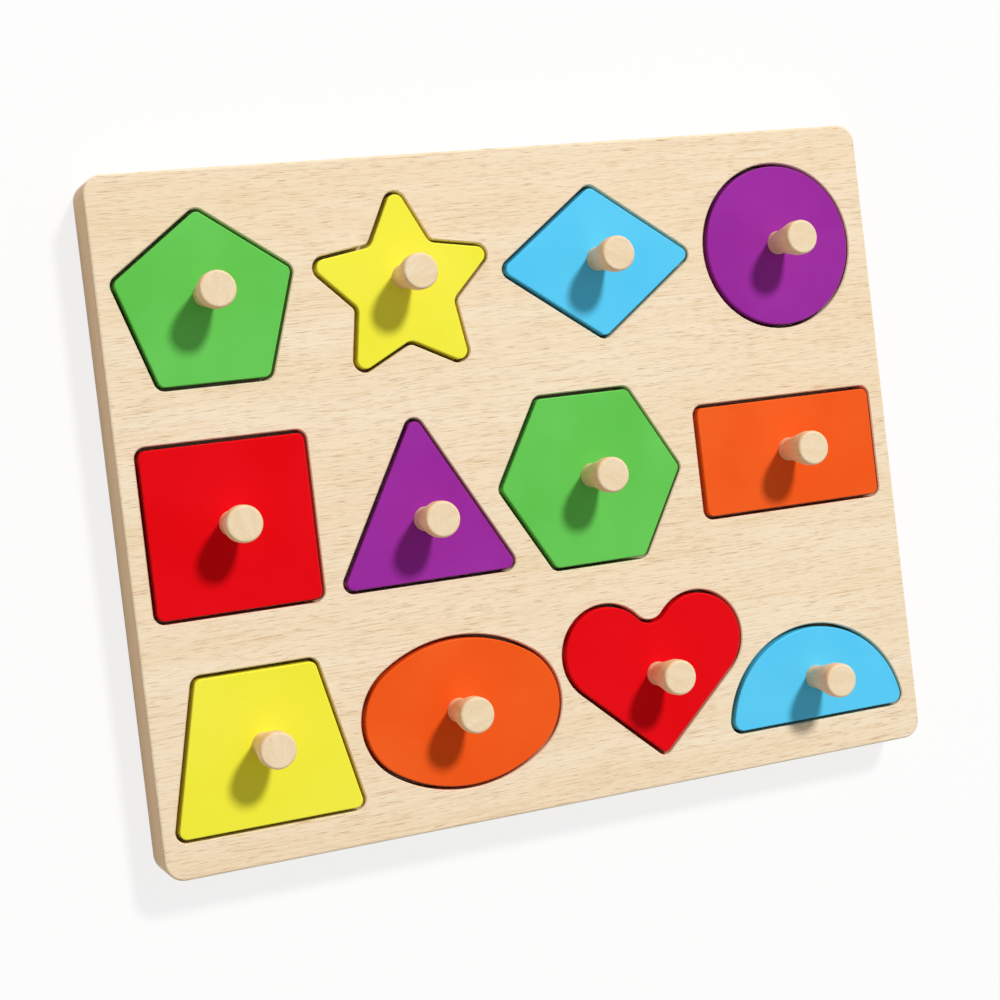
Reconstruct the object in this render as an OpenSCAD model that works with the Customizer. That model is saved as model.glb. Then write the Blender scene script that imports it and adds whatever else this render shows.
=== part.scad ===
// Peg puzzle: a wooden board with a pocket for every painted shape.
// The board is a panel with cut-outs, glued on a backing board that closes the pockets.
// Each shape lifts out by a turned peg, whose tenon is glued into a blind hole in the shape.
// Millimetres, +Z up. The origin is at the middle of the board's underside.

/* [Board] */
// Wood between the left side and the first shape of the top row
top_row_start = 6.7; // [5:0.1:20]
// Wood between the left side and the first shape of the middle row
middle_row_start = 7.7; // [5:0.1:20]
// Wood between the left side and the first shape of the bottom row
bottom_row_start = 6.2; // [5:0.1:20]
// Wood between the longest row and the right side
right_margin = 7.7; // [5:0.1:20]
// Wood between the top row and the upper edge
top_margin = 14.1; // [8:0.1:30]
// Wood between the bottom row and the lower edge
bottom_margin = 12.1; // [8:0.1:30]
// Wood between one row of shapes and the next
row_gap = 17.5; // [10:0.1:40]
// Thickness of the panel with the cut-outs, which is the depth of a pocket
panel_t = 12; // [8:0.5:20]
// Thickness of the backing board
backing_t = 8; // [4:0.5:15]
// Radius of the board's corners, seen from above
board_corner_r = 7; // [3:0.5:15]
// Radius of the eased edge round the board's face and underside
board_edge_r = 1; // [0.4:0.1:2.5]
// Width of the small chamfer round the mouth of a pocket
pocket_chamfer = 0.4; // [0.2:0.1:1]

/* [Fit] */
// Clearance all round a shape in its pocket
piece_gap = 1.3; // [0.4:0.1:2]
// How far a shape stands above the board's face
piece_proud = 1; // [0.5:0.1:6]
// Clearance all round a peg's tenon in its hole, which the glue fills
glue_gap = 0.1; // [0.05:0.05:0.3]
// Clearance between the end of a tenon and the end of its hole
tenon_end_gap = 0.5; // [0.2:0.1:2]

/* [Shapes] */
// Radius of the corners of the straight-sided shapes
corner_r = 2.6; // [1.5:0.1:8]
// Radius of the eased edge round a shape's face
face_edge_r = 0.5; // [0.2:0.1:2]
// Width of the small chamfer round a shape's underside
foot_chamfer = 0.6; // [0.2:0.1:1.5]
// Width of the pentagon
pentagon_w = 61.2; // [40:0.1:80]
// Width of the star, from point to point
star_w = 63.1; // [50:0.1:80]
// Radius of the star's points
star_tip_r = 3.1; // [2:0.1:6]
// Distance from the middle of the star to the bottom of a hollow between two points
star_hollow = 19.2; // [16:0.1:23]
// Radius of the star's hollows
star_hollow_r = 4; // [2:0.1:8]
// Width of the rhombus
rhombus_w = 72.8; // [50:0.1:90]
// Height of the rhombus
rhombus_h = 54.1; // [40:0.1:80]
// Diameter of the disc
disc_d = 60.4; // [40:0.1:80]
// Side of the square
square_w = 58; // [40:0.1:80]
// Width of the triangle's base
triangle_w = 62.7; // [45:0.1:80]
// Height of the triangle
triangle_h = 56.4; // [45:0.1:80]
// How far the triangle's peg sits below its mid-height
triangle_peg_drop = 7.5; // [0:0.1:12]
// Width of the hexagon, from corner to corner
hexagon_w = 70.7; // [45:0.1:90]
// Width of the rectangle
rectangle_w = 74.2; // [50:0.1:90]
// Height of the rectangle
rectangle_h = 40.9; // [30:0.1:70]
// Width of the trapezoid's base
trapezoid_w = 65.2; // [50:0.1:80]
// Width of the trapezoid's top
trapezoid_top_w = 43.5; // [30:0.1:60]
// Height of the trapezoid
trapezoid_h = 53.2; // [40:0.1:80]
// Width of the oval
oval_w = 74; // [60:0.1:90]
// Height of the oval
oval_h = 52.4; // [40:0.1:58]
// How far the oval's peg sits left of its middle
oval_peg_shift = 2; // [0:0.1:6]
// Height of the heart, from its tip to the top of its lobes
heart_h = 56.6; // [50:0.1:80]
// Radius of the heart's two lobes
heart_lobe_r = 17.1; // [14:0.1:22]
// Distance between the middles of the heart's lobes
heart_lobe_spacing = 37.3; // [34:0.1:42]
// Radius of the heart's notch
heart_notch_r = 7.7; // [5:0.1:12]
// Radius of the heart's tip
heart_tip_r = 1.9; // [1:0.1:6]
// How far the heart sits above the middle of its row
heart_rise = 0.6; // [0:0.1:4]
// Height of the half disc
half_disc_h = 34.4; // [28:0.1:40]
// Radius of the half disc's arc
half_disc_r = 36.9; // [32:0.1:45]
// Radius of the half disc's two corners
half_disc_corner_r = 3.5; // [2:0.1:8]
// How far the half disc sits below the middle of its row
half_disc_drop = 8.4; // [0:0.1:10]
// How far the half disc's peg sits below its mid-height
half_disc_peg_drop = 2.7; // [0:0.1:6]

/* [Spacing along the rows] */
// Wood between the pentagon and the star
star_space = 9.7; // [5:0.1:20]
// Wood between the star and the rhombus
rhombus_space = 7.7; // [5:0.1:20]
// Wood between the rhombus and the disc
disc_space = 9.3; // [5:0.1:20]
// Wood between the square and the triangle
triangle_space = 9.4; // [5:0.1:20]
// Width between the triangle's base and the hexagon's corner, which reaches in over it
hexagon_space = -0.7; // [-4:0.1:15]
// Wood between the hexagon and the rectangle
rectangle_space = 10.4; // [5:0.1:20]
// Width between the trapezoid's base and the oval's end, which lies above it
oval_space = 4.1; // [1:0.1:15]
// Width between the oval's end and the heart's lobe, which lies above it
heart_space = 4.5; // [2:0.1:15]
// Width between the heart's lobe and the half disc, which reaches in under it
half_disc_space = -6; // [-9:0.1:15]

/* [Pegs] */
// How far the pegs sit above the middles of their shapes
peg_rise = 1; // [0:0.1:3]
// Height of a peg above its shape
peg_h = 19; // [14:0.5:30]
// Diameter of a peg's foot
peg_foot_d = 8.8; // [7.5:0.1:14]
// Diameter of a peg's waist
peg_waist_d = 8.4; // [6:0.1:12]
// Height of the waist above the shape
peg_waist_z = 3; // [2:0.1:6]
// Diameter of a peg's head
peg_head_d = 12.8; // [9:0.1:20]
// Diameter of the flat on top of the head
peg_flat_d = 10.8; // [6:0.1:12]
// Height of the straight part of the head, below its rounded top edge
peg_head_h = 3.5; // [1:0.1:6]
// Height of the rounded top edge
peg_crown_h = 1.2; // [0.4:0.1:3]
// Diameter of a peg's tenon
tenon_d = 6; // [3:0.1:7.5]
// Wood left under a peg's hole
hole_floor = 4; // [2:0.1:6]

/* [Smoothness] */
// Most that a chord may lie inside its arc
chord_error = 0.02; // [0.01:0.01:0.1]
// Steps in an eased edge
edge_steps = 4; // [2:1:8]
// Steps in each stretch of a peg's profile
profile_steps = 8; // [4:1:16]

/* [Hidden] */
$fn = 64;

beech = [0.95, 0.87, 0.74];
green = [0.40, 0.78, 0.33];
yellow = [0.94, 0.92, 0.24];
blue = [0.34, 0.78, 0.96];
purple = [0.62, 0.16, 0.64];
red = [0.90, 0.05, 0.08];
orange = [0.96, 0.38, 0.11];

// Length below which two arcs meet with no straight side between them
no_side = 0.01;
// How far a cutting solid runs past the face that it opens
overrun = 0.2;
// Largest share of the tightest corner that an eased edge may take
edge_share = 0.8;
// Corners of the pentagon and points of the star, and how far the widest pair lies above the middle
five = 5;
five_rise = 90 - 360 / five;

piece_t = panel_t + piece_proud;
hole_r = tenon_d / 2 + glue_gap;
hole_depth = piece_t - hole_floor;
tenon_l = hole_depth - tenon_end_gap;

// An outline is a list of discs [x, y, r], counterclockwise, with a belt drawn round them.
// The belt bulges round a disc of positive radius and hollows round one of negative radius.

// Outward direction of the straight side between two discs
function side_angle(p, q) =
    let (d = [q.x - p.x, q.y - p.y])
    atan2(d.y, d.x) - acos(max(-1, min(1, (p.z - q.z) / norm(d))));

// Length of the straight side between two discs
function side_length(p, q) =
    let (d = [q.x - p.x, q.y - p.y], step = p.z - q.z)
    sqrt(max(0, d * d - step * step));

// Angle that the belt turns round a disc, negative round a hollow
function sweep(from, to, r) =
    let (turn = ((to - from) % 360 + 360) % 360)
    r > 0 ? turn : turn - 360;

function arc_steps(r, turn) =
    max(2, ceil(abs(turn) / (2 * acos(1 - chord_error / abs(r)))));

// Points of an outline, grown outwards by an even width
function outline(discs, grow = 0) = [
    for (i = [0 : len(discs) - 1])
        let (
            n = len(discs),
            disc = discs[i],
            next = discs[(i + 1) % n],
            from = side_angle(discs[(i + n - 1) % n], disc),
            turn = sweep(from, side_angle(disc, next), disc.z),
            steps = arc_steps(disc.z, turn),
            last = side_length(disc, next) > no_side ? steps : steps - 1
        )
            for (k = [0 : last])
                let (a = from + turn * k / steps)
                    [disc.x + (disc.z + grow) * cos(a), disc.y + (disc.z + grow) * sin(a)]
];

function is_round(discs) = len(discs) == 1;

// Lowest and highest corner of an outline
function low(discs) =
    is_round(discs)
        ? [discs[0].x - discs[0].z, discs[0].y - discs[0].z]
        : let (p = outline(discs)) [min([for (q = p) q.x]), min([for (q = p) q.y])];
function high(discs) =
    is_round(discs)
        ? [discs[0].x + discs[0].z, discs[0].y + discs[0].z]
        : let (p = outline(discs)) [max([for (q = p) q.x]), max([for (q = p) q.y])];
function size(discs) = high(discs) - low(discs);

// The same outline with the middle of its box at the origin
function centred(discs) =
    let (mid = (low(discs) + high(discs)) / 2)
    [for (d = discs) [d.x - mid.x, d.y - mid.y, d.z]];

// Outlines of the shapes

function ring(count, radius, r, start) =
    [for (i = [0 : count - 1])
        let (a = start + i * 360 / count)
            [radius * cos(a), radius * sin(a), r]];

function box(w, h, r) =
    let (x = w / 2 - r, y = h / 2 - r)
    [[x, -y, r], [x, y, r], [-x, y, r], [-x, -y, r]];

function pentagon() = ring(five, (pentagon_w / 2 - corner_r) / cos(five_rise), corner_r, 90);

function star() =
    let (
        points = ring(five, (star_w / 2 - star_tip_r) / cos(five_rise), star_tip_r, 90),
        hollows = ring(five, star_hollow + star_hollow_r, -star_hollow_r, 90 + 180 / five)
    )
    [for (i = [0 : five - 1]) each [points[i], hollows[i]]];

function rhombus() =
    let (x = rhombus_w / 2 - corner_r, y = rhombus_h / 2 - corner_r)
    [[x, 0, corner_r], [0, y, corner_r], [-x, 0, corner_r], [0, -y, corner_r]];

function triangle() =
    let (x = triangle_w / 2 - corner_r)
    [[x, corner_r, corner_r], [0, triangle_h - corner_r, corner_r], [-x, corner_r, corner_r]];

function hexagon() = ring(6, hexagon_w / 2 - corner_r, corner_r, 0);

function trapezoid() =
    let (
        x = trapezoid_w / 2 - corner_r,
        top_x = trapezoid_top_w / 2 - corner_r,
        y = trapezoid_h - corner_r
    )
    [[x, corner_r, corner_r], [top_x, y, corner_r], [-top_x, y, corner_r], [-x, corner_r, corner_r]];

// An oval drawn from four centres, two for the ends and two for the long sides
function oval() =
    let (
        a = oval_w / 2,
        b = oval_h / 2,
        c = norm([a, b]),
        end_r = c * (c - a + b) / (2 * a),
        side_r = c * (c + a - b) / (2 * b)
    )
    [[a - end_r, 0, end_r], [0, b - side_r, side_r], [end_r - a, 0, end_r], [0, side_r - b, side_r]];

function heart() =
    let (
        x = heart_lobe_spacing / 2,
        lobe_y = heart_h - heart_lobe_r,
        reach = heart_lobe_r + heart_notch_r,
        notch_y = lobe_y + sqrt(reach * reach - x * x)
    )
    [
        [0, heart_tip_r, heart_tip_r],
        [x, lobe_y, heart_lobe_r],
        [0, notch_y, -heart_notch_r],
        [-x, lobe_y, heart_lobe_r]
    ];

function half_disc() =
    let (
        r = half_disc_corner_r,
        arc_y = half_disc_h - half_disc_r,
        reach = half_disc_r - r,
        x = sqrt(reach * reach - (r - arc_y) * (r - arc_y))
    )
    [[x, r, r], [0, arc_y, half_disc_r], [-x, r, r]];

// Rows of shapes: name, outline, space before it, drop below the row's middle, drop of its peg, colour,
// and how far its peg is shifted to the left where it isn't above the middle
TOP_ROW = [
    ["pentagon", centred(pentagon()), top_row_start, 0, 0, green],
    ["star", centred(star()), star_space, 0, 0, yellow],
    ["rhombus", centred(rhombus()), rhombus_space, 0, 0, blue],
    ["disc", [[0, 0, disc_d / 2]], disc_space, 0, 0, purple]
];
MIDDLE_ROW = [
    ["square", box(square_w, square_w, corner_r), middle_row_start, 0, 0, red],
    ["triangle", centred(triangle()), triangle_space, 0, triangle_peg_drop, purple],
    ["hexagon", centred(hexagon()), hexagon_space, 0, 0, green],
    ["rectangle", box(rectangle_w, rectangle_h, corner_r), rectangle_space, 0, 0, orange]
];
BOTTOM_ROW = [
    ["trapezoid", centred(trapezoid()), bottom_row_start, 0, 0, yellow],
    ["oval", centred(oval()), oval_space, 0, 0, orange, oval_peg_shift],
    ["heart", centred(heart()), heart_space, -heart_rise, 0, red],
    ["half_disc", centred(half_disc()), half_disc_space, half_disc_drop, half_disc_peg_drop, blue]
];

function name_of(p) = p[0];
function discs_of(p) = p[1];
function space_of(p) = p[2];
function drop_of(p) = p[3];
function peg_of(p) = [is_undef(p[6]) ? 0 : -p[6], peg_rise - p[4]];
function colour_of(p) = p[5];

// Layout of the rows, measured from the board's lower left corner

// Where a row has got to on the right of its shape number i
function reach_of(row, i) =
    i < 0 ? 0 : reach_of(row, i - 1) + space_of(row[i]) + size(discs_of(row[i])).x;
function length_of(row) = reach_of(row, len(row) - 1);
function height_of(row) = max([for (p = row) size(discs_of(p)).y]);

board_w = max(length_of(TOP_ROW), length_of(MIDDLE_ROW), length_of(BOTTOM_ROW)) + right_margin;
bottom_row_y = bottom_margin + height_of(BOTTOM_ROW) / 2;
middle_row_y = bottom_row_y + (height_of(BOTTOM_ROW) + height_of(MIDDLE_ROW)) / 2 + row_gap;
top_row_y = middle_row_y + (height_of(MIDDLE_ROW) + height_of(TOP_ROW)) / 2 + row_gap;
board_h = top_row_y + height_of(TOP_ROW) / 2 + top_margin;

// Each shape with its place on the board, from the middle of the board
function placed(row, y) = [
    for (i = [0 : len(row) - 1])
        let (x = reach_of(row, i) - size(discs_of(row[i])).x / 2)
            [row[i], [x - board_w / 2, y - drop_of(row[i]) - board_h / 2]]
];
SHAPES = concat(
    placed(TOP_ROW, top_row_y), placed(MIDDLE_ROW, middle_row_y), placed(BOTTOM_ROW, bottom_row_y)
);

// An eased edge is a list of levels, each with how far it draws in and its height

// Radius that an eased edge can have on an outline
function edge_on(discs, r) = min(r, edge_share * min([for (d = discs) if (d.z > 0) d.z]));

function eased_top(h, r) =
    [for (k = [0 : edge_steps])
        let (a = 90 * k / edge_steps)
            [r * (1 - cos(a)), h - r + r * sin(a)]];
function eased_foot(r) =
    [for (k = [edge_steps : -1 : 0])
        let (a = 90 * k / edge_steps)
            [r * (1 - cos(a)), r - r * sin(a)]];

// A solid with an outline drawn in or let out at each level
module loft(discs, levels) {
    rings = [for (l = levels) outline(discs, -l[0])];
    n = len(rings[0]);
    top = len(levels) - 1;
    foot_mid = n * len(levels);
    sides = [
        for (i = [0 : top - 1], k = [0 : n - 1])
            let (a = i * n + k, b = i * n + (k + 1) % n)
                each [[a, a + n, b + n], [a, b + n, b]]
    ];
    foot = [for (k = [0 : n - 1]) [foot_mid, k, (k + 1) % n]];
    face = [for (k = [0 : n - 1]) [foot_mid + 1, top * n + (k + 1) % n, top * n + k]];
    polyhedron(
        points = concat(
            [for (i = [0 : top], p = rings[i]) [p.x, p.y, levels[i][1]]],
            [[0, 0, levels[0][1]], [0, 0, levels[top][1]]]
        ),
        faces = concat(sides, foot, face)
    );
}

// The same for a round outline, turned
module turned(r, levels) {
    rotate_extrude()
        polygon(concat(
            [[0, levels[0][1]]],
            [for (l = levels) [r - l[0], l[1]]],
            [[0, levels[len(levels) - 1][1]]]
        ));
}

module slab(discs, levels) {
    if (is_round(discs))
        turned(discs[0].z, levels);
    else
        loft(discs, levels);
}

// The board's face, a panel sawn through for every shape
module panel() {
    board = box(board_w, board_h, board_corner_r);
    pocket = [
        [-piece_gap, -overrun],
        [-piece_gap, panel_t - pocket_chamfer],
        [-piece_gap - pocket_chamfer - overrun, panel_t + overrun]
    ];
    color(beech)
        translate([0, 0, backing_t])
            difference() {
                slab(board, concat([[0, 0]], eased_top(panel_t, edge_on(board, board_edge_r))));
                for (s = SHAPES)
                    translate([s[1].x, s[1].y, 0])
                        slab(discs_of(s[0]), pocket);
            }
}

// The board's back, glued under the panel, on which the shapes rest
module backing() {
    board = box(board_w, board_h, board_corner_r);
    color(beech)
        slab(board, concat(eased_foot(edge_on(board, board_edge_r)), [[0, backing_t]]));
}

// A painted shape with the blind hole for its peg
module piece(s) {
    discs = discs_of(s[0]);
    foot = edge_on(discs, foot_chamfer);
    levels = concat([[foot, 0], [0, foot]], eased_top(piece_t, edge_on(discs, face_edge_r)));
    color(colour_of(s[0]))
        translate([s[1].x, s[1].y, backing_t])
            difference() {
                slab(discs, levels);
                translate([peg_of(s[0]).x, peg_of(s[0]).y, piece_t - hole_depth])
                    cylinder(h = hole_depth + overrun, r = hole_r);
            }
}

// Radius at a share of the way along an S-shaped stretch
function swell(from, to, share) = from + (to - from) * (1 - cos(180 * share)) / 2;

// A turned peg: tenon, foot, waist, straight taper, head and rounded top edge
module peg(s) {
    crown_z = peg_h - peg_crown_h;
    head_z = crown_z - peg_head_h;
    profile = concat(
        [[0, -tenon_l], [tenon_d / 2, -tenon_l], [tenon_d / 2, 0]],
        [for (k = [0 : profile_steps])
            let (t = k / profile_steps)
                [swell(peg_foot_d, peg_waist_d, t) / 2, t * peg_waist_z]],
        [[peg_head_d / 2, head_z]],
        [for (k = [0 : profile_steps])
            let (a = 90 * k / profile_steps)
                [(peg_flat_d + (peg_head_d - peg_flat_d) * cos(a)) / 2, crown_z + peg_crown_h * sin(a)]],
        [[0, peg_h]]
    );
    color(beech)
        translate([s[1].x + peg_of(s[0]).x, s[1].y + peg_of(s[0]).y, backing_t + piece_t])
            rotate_extrude()
                polygon(profile);
}

panel();
backing();
for (s = SHAPES) piece(s);
for (s = SHAPES) peg(s);
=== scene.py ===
import math

import bmesh
import bpy
from mathutils import Euler, Matrix, Vector


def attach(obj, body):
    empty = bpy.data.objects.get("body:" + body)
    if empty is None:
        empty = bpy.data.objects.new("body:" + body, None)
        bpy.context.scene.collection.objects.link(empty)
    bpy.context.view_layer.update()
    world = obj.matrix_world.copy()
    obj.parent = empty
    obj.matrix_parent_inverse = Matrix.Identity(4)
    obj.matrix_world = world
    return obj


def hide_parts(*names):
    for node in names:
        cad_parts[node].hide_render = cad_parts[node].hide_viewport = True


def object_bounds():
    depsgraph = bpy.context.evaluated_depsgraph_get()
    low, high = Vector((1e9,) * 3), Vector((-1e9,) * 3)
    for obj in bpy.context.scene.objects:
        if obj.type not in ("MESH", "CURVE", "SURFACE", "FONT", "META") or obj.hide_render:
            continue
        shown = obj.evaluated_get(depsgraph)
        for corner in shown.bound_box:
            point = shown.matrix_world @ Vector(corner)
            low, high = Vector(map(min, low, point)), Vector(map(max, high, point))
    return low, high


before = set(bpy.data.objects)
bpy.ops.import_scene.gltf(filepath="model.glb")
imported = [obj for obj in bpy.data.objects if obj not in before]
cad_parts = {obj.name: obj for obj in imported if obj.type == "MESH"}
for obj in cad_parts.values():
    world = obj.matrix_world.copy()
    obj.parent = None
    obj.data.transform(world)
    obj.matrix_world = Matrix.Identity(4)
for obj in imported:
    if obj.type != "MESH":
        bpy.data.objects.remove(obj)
cad_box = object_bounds()

# Board: a beech panel sawn through for the twelve shapes, glued on a plain beech backing.
# Both are planed and sanded, with rounded corners and eased edges, and wiped with a clear matt lacquer.
# The grain runs along the board's length, so the two short sides show end grain.
MM = 0.001


def dressed(name, body, material):
    """A clean-shaded copy of a CAD node, which stands for it: flats stay flat, eased edges turn smoothly."""
    merge_within = 0.001 * MM
    flat_within = math.radians(0.2)
    sharp_from = math.radians(40)
    shell = bmesh.new()
    shell.from_mesh(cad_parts[name].data)
    bmesh.ops.remove_doubles(shell, verts=shell.verts, dist=merge_within)
    bmesh.ops.dissolve_limit(shell, angle_limit=flat_within, verts=shell.verts, edges=shell.edges)
    for face in shell.faces:
        face.smooth = True
        face.material_index = 0
    for edge in shell.edges:
        edge.smooth = edge.calc_face_angle(math.pi) < sharp_from
    mesh = bpy.data.meshes.new(name + "_finish")
    shell.to_mesh(mesh)
    shell.free()
    mesh.materials.append(material)
    piece = bpy.data.objects.new(name + "_finish", mesh)
    bpy.context.scene.collection.objects.link(piece)
    flats = piece.modifiers.new("flats stay flat", "WEIGHTED_NORMAL")
    flats.mode = "FACE_AREA"
    flats.weight = 100
    flats.keep_sharp = True
    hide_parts(name)
    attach(piece, body)


def linear(code):
    """Linear colour of an sRGB hex value."""
    parts = [int(code[i:i + 2], 16) / 255 for i in (1, 3, 5)]
    return [c / 12.92 if c <= 0.04045 else ((c + 0.055) / 1.055) ** 2.4 for c in parts] + [1.0]


def add(tree, kind, inputs=None, **settings):
    """One shader node with its settings, and each input as a value or a link from another node's output."""
    made = tree.nodes.new("ShaderNode" + kind)
    for key, value in settings.items():
        setattr(made, key, value)
    for socket, value in (inputs or {}).items():
        if isinstance(value, bpy.types.NodeSocket):
            tree.links.new(value, made.inputs[socket])
        else:
            made.inputs[socket].default_value = value
    return made


# Sanded beech under matt lacquer: pale and warm, with short thin dark flecks lying along the grain,
# a few longer growth lines, faint broad bands, and a soft sheen that the open pores break up.
def sanded_beech(name, grain, turn, pale, warm, line, fleck, side_tone, end_tone, rings):
    """Beech whose fibres run along the axis named as grain, its pattern turned about Z by so many degrees."""
    material = bpy.data.materials.new(name)
    material.use_nodes = True
    tree = material.node_tree
    shader = tree.nodes["Principled BSDF"]

    def stretch(length, wide, deep):
        """Pattern scale for marks of this length along the fibres, and this width and depth across, in mm."""
        sizes = (length, wide, deep) if grain == "X" else (wide, deep, length)
        return [1 / (size * MM) for size in sizes]

    place = add(tree, "TexCoord")
    turned = add(tree, "Mapping", {"Vector": place.outputs["Object"],
                                   "Rotation": (0, 0, math.radians(turn))})

    # The fibres wander by about a millimetre over a hand's width.
    sway = add(tree, "TexNoise", {"Vector": turned.outputs[0], "Scale": 1 / (55 * MM), "Detail": 1.0})
    shift = add(tree, "VectorMath", {0: sway.outputs["Color"], 1: (0.5, 0.5, 0.5)}, operation="SUBTRACT")
    bent = add(tree, "VectorMath", {0: shift.outputs[0], 1: (2.4 * MM,) * 3, 2: turned.outputs[0]},
               operation="MULTIPLY_ADD")

    # Growth bands, up to 14 mm wide on the face and about 2.5 mm thick through the board.
    at_bands = add(tree, "Mapping", {"Vector": bent.outputs[0], "Scale": stretch(170, 14, 2.6)})
    bands = add(tree, "TexNoise", {"Vector": at_bands.outputs[0], "Scale": 1.0, "Detail": 3.0,
                                   "Roughness": 0.55})
    band = add(tree, "MapRange", {"Value": bands.outputs[0], "From Min": 0.3, "From Max": 0.7})
    banded = add(tree, "Mix", {0: band.outputs[0], 6: linear(pale), 7: linear(warm)}, data_type="RGBA")

    # Growth lines, some 40 mm long and under a millimetre thick.
    at_lines = add(tree, "Mapping", {"Vector": bent.outputs[0], "Scale": stretch(38, 0.8, 0.8)})
    lines = add(tree, "TexNoise", {"Vector": at_lines.outputs[0], "Scale": 1.0, "Detail": 2.0})
    ring = add(tree, "MapRange", {"Value": lines.outputs[0], "From Min": 0.5, "From Max": 0.8})
    ringed = add(tree, "Mix", {0: ring.outputs[0], 6: banded.outputs[2], 7: linear(line)},
                 data_type="RGBA")

    # Ray flecks, 3 to 5 mm long and drawn 0.2 mm thick, about twice the real ones, so that they show.
    at_flecks = add(tree, "Mapping", {"Vector": bent.outputs[0], "Scale": stretch(7.0, 0.17, 0.3)})
    flecks = add(tree, "TexNoise", {"Vector": at_flecks.outputs[0], "Scale": 1.0, "Detail": 1.0})
    speck = add(tree, "MapRange", {"Value": flecks.outputs[0], "From Min": 0.59, "From Max": 0.75})
    flecked = add(tree, "Mix", {0: speck.outputs[0], 6: ringed.outputs[2], 7: linear(fleck)},
                  data_type="RGBA")

    # Pores, drawn 0.35 mm across, three real ones side by side. Cut across, they are open and show more.
    at_pores = add(tree, "Mapping", {"Vector": bent.outputs[0], "Scale": stretch(1.0, 0.35, 0.35)})
    pores = add(tree, "TexNoise", {"Vector": at_pores.outputs[0], "Scale": 1.0, "Detail": 2.0})
    facing = add(tree, "SeparateXYZ", {0: place.outputs["Normal"]})
    across = add(tree, "Math", {0: facing.outputs[grain]}, operation="ABSOLUTE")
    ends = add(tree, "MapRange", {"Value": across.outputs[0], "From Min": 0.6, "From Max": 1.0})
    dark = add(tree, "MapRange", {"Value": ends.outputs[0], "To Min": 0.98, "To Max": 0.93})
    light = add(tree, "MapRange", {"Value": ends.outputs[0], "To Min": 1.02, "To Max": 1.07})
    grit = add(tree, "MapRange", {"Value": pores.outputs[0], "From Min": 0.3, "From Max": 0.7,
                                  "To Min": dark.outputs[0], "To Max": light.outputs[0]})
    speckled = add(tree, "VectorMath", {0: flecked.outputs[2], "Scale": grit.outputs[0]}, operation="SCALE")

    # The lacquer sinks into fibres that are cut across and lies on those cut along, so the tones differ.
    tone = add(tree, "Mix", {0: ends.outputs[0], 6: linear(side_tone), 7: linear(end_tone)},
               data_type="RGBA")
    lacquered = add(tree, "Mix", {0: 1.0, 6: speckled.outputs[0], 7: tone.outputs[2]},
                    data_type="RGBA", blend_type="MULTIPLY")

    # The lathe leaves rings about 0.4 mm apart round a peg; a flat board has none.
    at_rings = add(tree, "Mapping", {"Vector": place.outputs["Object"], "Scale": (0, 0, 1 / (0.4 * MM))})
    lathe = add(tree, "TexNoise", {"Vector": at_rings.outputs[0], "Scale": 1.0, "Detail": 1.0})
    scored = add(tree, "Math", {0: lathe.outputs[0], 1: rings, 2: pores.outputs[0]},
                 operation="MULTIPLY_ADD")
    relief = add(tree, "Math", {0: speck.outputs[0], 1: -0.7, 2: scored.outputs[0]},
                 operation="MULTIPLY_ADD")
    skin = add(tree, "Bump", {"Strength": 0.3, "Distance": 0.04 * MM, "Height": relief.outputs[0]})
    gloss = add(tree, "MapRange", {"Value": pores.outputs[0], "From Min": 0.3, "From Max": 0.7,
                                   "To Min": 0.46, "To Max": 0.6})
    tree.links.new(lacquered.outputs[2], shader.inputs["Base Color"])
    tree.links.new(gloss.outputs[0], shader.inputs["Roughness"])
    tree.links.new(skin.outputs[0], shader.inputs["Normal"])
    shader.inputs["IOR"].default_value = 1.5
    shader.inputs["Specular IOR Level"].default_value = 0.25
    return material


board_beech = sanded_beech("sanded beech board", grain="X", turn=0, pale="#F4E3C7", warm="#F0D9B6",
                           line="#E7CBA3", fleck="#BA8C5A", side_tone="#FFFFFF", end_tone="#ECD8BE",
                           rings=0.0)
dressed("backing", "board", board_beech)
dressed("panel", "board", board_beech)

# Shapes: twelve flat beech pieces sawn from board, rounded over on the face and chamfered below.
# Each is sprayed all over with an opaque satin toy paint, two shapes in each of six colours.
# They lie loose in the pockets, a little proud of the board.


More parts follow.
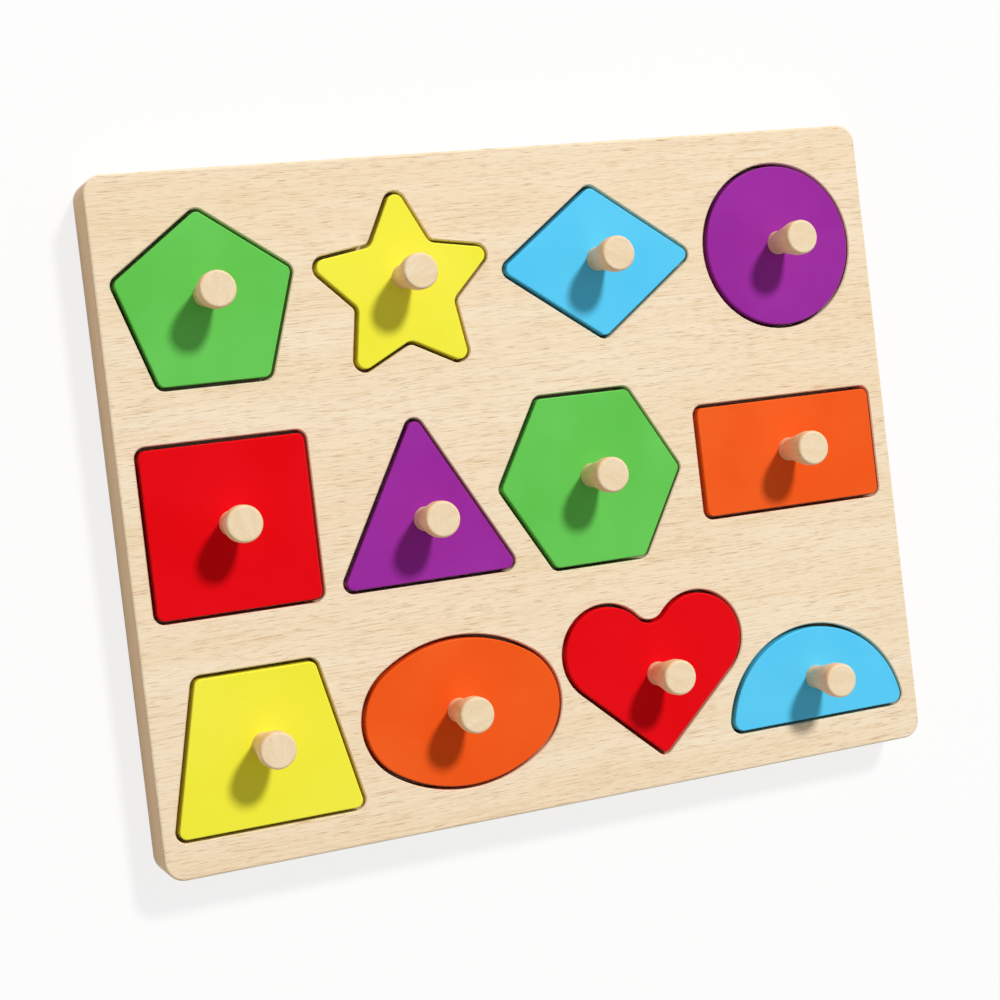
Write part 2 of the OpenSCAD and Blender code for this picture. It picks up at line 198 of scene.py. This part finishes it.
# Satin toy paint on beech: an even, opaque colour with a soft sheen. The spray leaves a slight
# orange peel, the wood's fibres just show through as fine ridges, and the coat is a touch uneven.
# The sheen takes the paint's own colour, so that the shaded sides stay deep.
def satin_paint(name, colour, thin):
    """Satin paint of one colour, with a paler one where the coat is thin."""
    material = bpy.data.materials.new(name)
    material.use_nodes = True
    tree = material.node_tree
    shader = tree.nodes["Principled BSDF"]
    place = add(tree, "TexCoord")

    # Thicker and thinner patches of the coat, about 30 mm across.
    at_cloud = add(tree, "Mapping", {"Vector": place.outputs["Object"], "Scale": (1 / (30 * MM),) * 3})
    cloud = add(tree, "TexNoise", {"Vector": at_cloud.outputs[0], "Scale": 1.0, "Detail": 3.0})
    coat = add(tree, "MapRange", {"Value": cloud.outputs[0], "From Min": 0.35, "From Max": 0.7})
    tint = add(tree, "Mix", {0: coat.outputs[0], 6: linear(colour), 7: linear(thin)}, data_type="RGBA")

    # Fibres under the paint, drawn 0.5 mm wide and 20 mm long, and peel marks 1.3 mm across.
    at_fibres = add(tree, "Mapping", {"Vector": place.outputs["Object"],
                                      "Scale": (1 / (20 * MM), 1 / (0.5 * MM), 1 / (0.5 * MM))})
    fibres = add(tree, "TexNoise", {"Vector": at_fibres.outputs[0], "Scale": 1.0, "Detail": 2.0})
    at_peel = add(tree, "Mapping", {"Vector": place.outputs["Object"], "Scale": (1 / (1.3 * MM),) * 3})
    peel = add(tree, "TexNoise", {"Vector": at_peel.outputs[0], "Scale": 1.0, "Detail": 1.0})
    relief = add(tree, "Math", {0: fibres.outputs[0], 1: 0.5, 2: peel.outputs[0]}, operation="MULTIPLY_ADD")
    skin = add(tree, "Bump", {"Strength": 0.25, "Distance": 0.03 * MM, "Height": relief.outputs[0]})
    gloss = add(tree, "MapRange", {"Value": peel.outputs[0], "From Min": 0.3, "From Max": 0.7,
                                   "To Min": 0.27, "To Max": 0.35})
    tree.links.new(tint.outputs[2], shader.inputs["Base Color"])
    tree.links.new(gloss.outputs[0], shader.inputs["Roughness"])
    tree.links.new(skin.outputs[0], shader.inputs["Normal"])
    shader.inputs["IOR"].default_value = 1.5
    shader.inputs["Specular Tint"].default_value = linear(colour)
    shader.inputs["Specular IOR Level"].default_value = 0.3
    return material


paints = {
    "green": satin_paint("satin green paint", "#61C34F", "#6ACA5A"),
    "yellow": satin_paint("satin yellow paint", "#F1EB3C", "#F4EE4A"),
    "blue": satin_paint("satin light blue paint", "#54C8F4", "#5ECDF6"),
    "purple": satin_paint("satin purple paint", "#962A99", "#9E32A2"),
    "red": satin_paint("satin red paint", "#E20A12", "#E60F19"),
    "orange": satin_paint("satin orange paint", "#EF571A", "#F36124"),
}
shapes = {
    "pentagon": "green", "star": "yellow", "rhombus": "blue", "disc": "purple",
    "square": "red", "triangle": "purple", "hexagon": "green", "rectangle": "orange",
    "trapezoid": "yellow", "oval": "orange", "heart": "red", "half_disc": "blue",
}
for shape, paint in shapes.items():
    dressed(shape + "_piece", shape, paints[paint])

# Pegs: twelve small beech knobs turned from dowel, each glued into its shape by a tenon.
# The grain stands upright, so the flat tops show end grain, and the tops are eased by the lathe.
# The dowels went into the lathe any way round, so the bands on the tops lie in different directions.
peg_turns = (84, -17, 31, 8)
peg_beech = [sanded_beech("turned beech peg " + str(i + 1), grain="Z", turn=turn, pale="#F7DEBE",
                          warm="#EFD0A9", line="#EDCDA6", fleck="#E7C49A", side_tone="#FFF2E4",
                          end_tone="#F9FFFF", rings=0.5)
             for i, turn in enumerate(peg_turns)]
for i, shape in enumerate(shapes):
    dressed(shape + "_peg", shape, peg_beech[i % len(peg_beech)])

# Floor: a plain white table, which the camera sees as white paper that keeps a faint shadow.
# It lies just under the board, so that the two faces don't meet.
floor_reach = 6000 * MM
floor_drop = 0.02 * MM
paper_share = 0.8


def background_rays(tree):
    """1 for the rays that show the background: the camera's own, and those mirrored or let through to it."""
    rays = add(tree, "LightPath")
    mirrored = add(tree, "Math", {0: rays.outputs["Is Camera Ray"], 1: rays.outputs["Is Glossy Ray"]},
                   operation="MAXIMUM")
    shown = add(tree, "Math", {0: mirrored.outputs[0], 1: rays.outputs["Is Transmission Ray"]},
                operation="MAXIMUM")
    return shown.outputs[0]


floor_shell = bmesh.new()
bmesh.ops.create_grid(floor_shell, x_segments=1, y_segments=1, size=floor_reach)
floor_mesh = bpy.data.meshes.new("floor")
floor_shell.to_mesh(floor_mesh)
floor_shell.free()
floor = bpy.data.objects.new("floor", floor_mesh)
floor.location.z = cad_box[0][2] - floor_drop
bpy.context.scene.collection.objects.link(floor)
white_table = bpy.data.materials.new("white table")
white_table.use_nodes = True
tree = white_table.node_tree
tree.nodes.remove(tree.nodes["Principled BSDF"])
matt = add(tree, "BsdfDiffuse", {"Color": linear("#F4F3F1")})
paper = add(tree, "Emission", {"Color": linear("#FFFFFF"), "Strength": 1.0})
share = add(tree, "Math", {0: background_rays(tree), 1: paper_share}, operation="MULTIPLY")
table_look = add(tree, "MixShader", {0: share.outputs[0], 1: matt.outputs[0], 2: paper.outputs[0]})
tree.links.new(table_look.outputs[0], tree.nodes["Material Output"].inputs["Surface"])
floor_mesh.materials.append(white_table)

# Light: one round studio lamp, up on the right and behind, broad enough to soften the pegs' shadows
# a little, and an even white room that fills them.
lamp_width = 1060 * MM
lamp_watts = 410
lamp_at = Vector((2182, 3964, 5310)) * MM
lamp_target = Vector((0, 0, 20)) * MM
room_fill = 0.35

lamp_data = bpy.data.lights.new("studio lamp", "AREA")
lamp_data.shape = "DISK"
lamp_data.size = lamp_width
lamp_data.energy = lamp_watts
lamp = bpy.data.objects.new("studio lamp", lamp_data)
aim = (lamp_target - lamp_at).to_track_quat("-Z", "Y")
lamp.matrix_world = Matrix.Translation(lamp_at) @ aim.to_matrix().to_4x4()
bpy.context.scene.collection.objects.link(lamp)

room = bpy.data.worlds.new("white room")
bpy.context.scene.world = room
room.use_nodes = True
tree = room.node_tree
glow = add(tree, "MapRange", {"Value": background_rays(tree), "To Min": room_fill, "To Max": 1.0})
tree.links.new(glow.outputs[0], tree.nodes["Background"].inputs["Strength"])
tree.nodes["Background"].inputs["Color"].default_value = linear("#FFFFFF")

# Camera: high above the board and to its left, leaning over to it and turned a little, as in the photograph.
# The shift of the lens puts the board where it lies in the photograph's frame.
camera_at = Vector((-273.1, 26.37, 686.45)) * MM
camera_turn = Euler([math.radians(angle) for angle in (1.1133, -21.3977, -7.2146)])

lens = bpy.data.cameras.new("camera")
lens.sensor_width = 36
lens.lens = 71.47
lens.shift_x = -0.0006
lens.shift_y = -0.03865
lens.clip_end = 20
camera = bpy.data.objects.new("camera", lens)
camera.matrix_world = Matrix.Translation(camera_at) @ camera_turn.to_matrix().to_4x4()
bpy.context.scene.collection.objects.link(camera)
bpy.context.scene.camera = camera
bpy.context.scene.view_settings.view_transform = "Standard"
